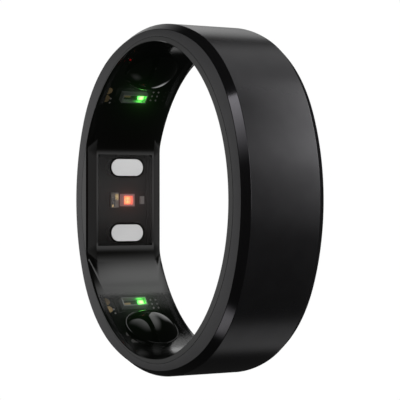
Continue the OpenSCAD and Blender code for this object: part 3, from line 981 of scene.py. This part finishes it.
def soft_light(name, place, w, h, glow, edges=(0.35, 0.35, 0.35, 0.35), group=None):
    """A soft box that faces the ring, unseen by the camera. Its h side runs along the finger's way.

    Each number of edges is the share over which the glow fades out: at the sides that come last and
    first clockwise, as the camera sees it, then at the near and far sides. Nought leaves a hard edge,
    and one of the four has to be more than nought."""
    light = bpy.data.lights.new(name, "AREA")
    light.shape = "RECTANGLE"
    light.size = w
    light.size_y = h
    light.energy = glow * math.pi * w * h
    lamp = bpy.data.objects.new(name, light)
    bpy.context.scene.collection.objects.link(lamp)
    away = Vector(place).normalized()
    side = FINGER_WAY.cross(away).normalized()
    turned = Matrix((side, away.cross(side), away)).transposed().to_4x4()
    lamp.matrix_world = Matrix.Translation(place) @ turned
    lamp.visible_camera = False
    if group:
        lamp.light_linking.receiver_collection = group
    light.use_nodes = True
    n = light.node_tree.nodes
    link = light.node_tree.links.new
    spot = n.new("ShaderNodeNewGeometry")
    split = n.new("ShaderNodeSeparateXYZ")
    link(spot.outputs["Parametric"], split.inputs["Vector"])
    shine = None
    for (axis, start), share in zip((("X", 0), ("X", 1), ("Y", 0), ("Y", 1)), edges):
        if not share:
            continue
        rise = n.new("ShaderNodeMapRange")
        rise.interpolation_type = "SMOOTHSTEP"
        rise.inputs["From Min"].default_value = start
        rise.inputs["From Max"].default_value = abs(start - share)
        link(split.outputs[axis], rise.inputs["Value"])
        if shine:
            both = n.new("ShaderNodeMath")
            both.operation = "MULTIPLY"
            link(shine, both.inputs[0])
            link(rise.outputs["Result"], both.inputs[1])
            shine = both.outputs["Value"]
        else:
            shine = rise.outputs["Result"]
    link(shine, n["Emission"].inputs["Strength"])


def make_bloom():
    """A soft glow round the lit dies, which are the only things brighter than white."""
    scene = bpy.context.scene
    scene.use_nodes = True
    tree = scene.node_tree
    tree.nodes.clear()
    layers = tree.nodes.new("CompositorNodeRLayers")
    glare = tree.nodes.new("CompositorNodeGlare")
    glare.glare_type = "BLOOM"
    glare.quality = "HIGH"
    glare.inputs["Threshold"].default_value = 1.05
    glare.inputs["Strength"].default_value = 1.0
    glare.inputs["Size"].default_value = 0.5
    out = tree.nodes.new("CompositorNodeComposite")
    tree.links.new(layers.outputs["Image"], glare.inputs["Image"])
    tree.links.new(glare.outputs["Image"], out.inputs["Image"])


make_camera()
make_floor()
make_world()
shown = {o.name: o for o in bpy.data.objects if o.type == "MESH" and o.name != "floor"}
metal = light_group("metal", [shown["band_shell"]])
pads = light_group("pads", [shown["contact_upper"], shown["contact_lower"]])
lenses = light_group("lenses", [shown["lens_upper"], shown["lens_lower"]])
others = [o for name, o in shown.items() if not name.startswith(("band_", "contact_", "lens_"))]
inside = light_group("inside", others)
liner_only = light_group("liner_only", [shown["smoked_liner"]])
open_side = light_group("open_side", others + [shown["band_shell"]])
small = ("pd_", "tinned_", "dots_", "green_pad_", "green_floor_", "green_led_", "carrier_", "middle_",
         "test_pads", "passives")
parts = light_group("parts", [o for o in others if o.name.startswith(small)])

# Soft boxes, in metres: name, place, width, height, glow, fading sides, and the pieces that it lights
soft_light("key_box", (0.032, 0.038, 0.031), 0.062, 0.036, 5.2, edges=(0.5, 0.35, 0.5, 0.2), group=metal)
soft_light("side_box", (0.048, 0.0355, 0.006), 0.05, 0.026, 2.9, edges=(0.45, 0.6, 0.7, 0.3), group=metal)
soft_light("top_box", (0.006, 0.027, 0.0512), 0.068, 0.044, 0.6, group=metal)
soft_light("far_box", (-0.0405, 0.03, 0.034), 0.042, 0.044, 0.6, edges=(0.8, 0.35, 0.35, 0.35), group=metal)
soft_light("crest_box", (-0.05, 0.012, 0.031), 0.06, 0.06, 0.34, group=metal)
soft_light("low_box", (0.002, 0.03, -0.053), 0.042, 0.044, 0.4, group=metal)
soft_light("chamfer_box", (0.0388, -0.028, 0.0294), 0.034, 0.024, 3.4, edges=(0, 1, 0.2, 0.2), group=metal)
soft_light("under_box", (0.017, -0.027, -0.05), 0.028, 0.022, 1.7, group=metal)
soft_light("edge_box", (0.055, -0.007, 0.012), 0.05, 0.01, 5.0, group=metal)
soft_light("rim_box", (-0.052, -0.03, 0), 0.06, 0.06, 0.68, group=open_side)
soft_light("lip_box", (-0.056, 0.011, -0.014), 0.04, 0.05, 2.2, group=liner_only)
soft_light("wedge_box", (-0.046, 0.03, 0.0265), 0.044, 0.044, 1.3, group=inside)
soft_light("wall_box", (0.029, 0.032, 0.034), 0.07, 0.036, 2.3, edges=(0.45, 0.5, 0.4, 0.2), group=inside)
soft_light("platform_box", (0.05, 0.029, 0.001), 0.016, 0.04, 1.1, edges=(0.4, 0.4, 0.3, 0.3), group=inside)
soft_light("source_box", (0.008, 0.03, 0.052), 0.03, 0.04, 1.0, group=inside)
soft_light("bevel_box", (0.046, -0.025, 0), 0.06, 0.02, 0.4, group=inside)
soft_light("back_box", (0.008, 0.06, 0), 0.06, 0.03, 0.4, group=inside)
soft_light("part_box", (0.052, 0.028, 0), 0.05, 0.05, 3.0, group=parts)
soft_light("part_top_box", (0.008, 0.03, 0.052), 0.04, 0.04, 3.5, group=parts)
soft_light("part_low_box", (0.008, 0.03, -0.052), 0.04, 0.04, 0.35, group=parts)
soft_light("lens_box", (-0.002, 0, 0.06), 0.16, 0.11, 1.5, edges=(0.3, 0.5, 0.5, 0.3), group=lenses)
soft_light("lens_far_box", (-0.038, 0.037, 0.030), 0.06, 0.05, 0.9, edges=(0.3, 0.5, 0.3, 0.3), group=lenses)
soft_light("lens_low_box", (-0.045, 0.036, -0.02), 0.03, 0.03, 1.2, group=lenses)
soft_light("lens_low_near_box", (-0.02, -0.03, -0.05), 0.05, 0.04, 0.3, edges=(0.5, 0.5, 0.5, 0.5),
           group=lenses)
soft_light("pad_box", (0.052, 0.028, 0), 0.09, 0.08, 1.23, group=pads)

make_bloom()
bpy.context.scene.view_settings.view_transform = "Standard"
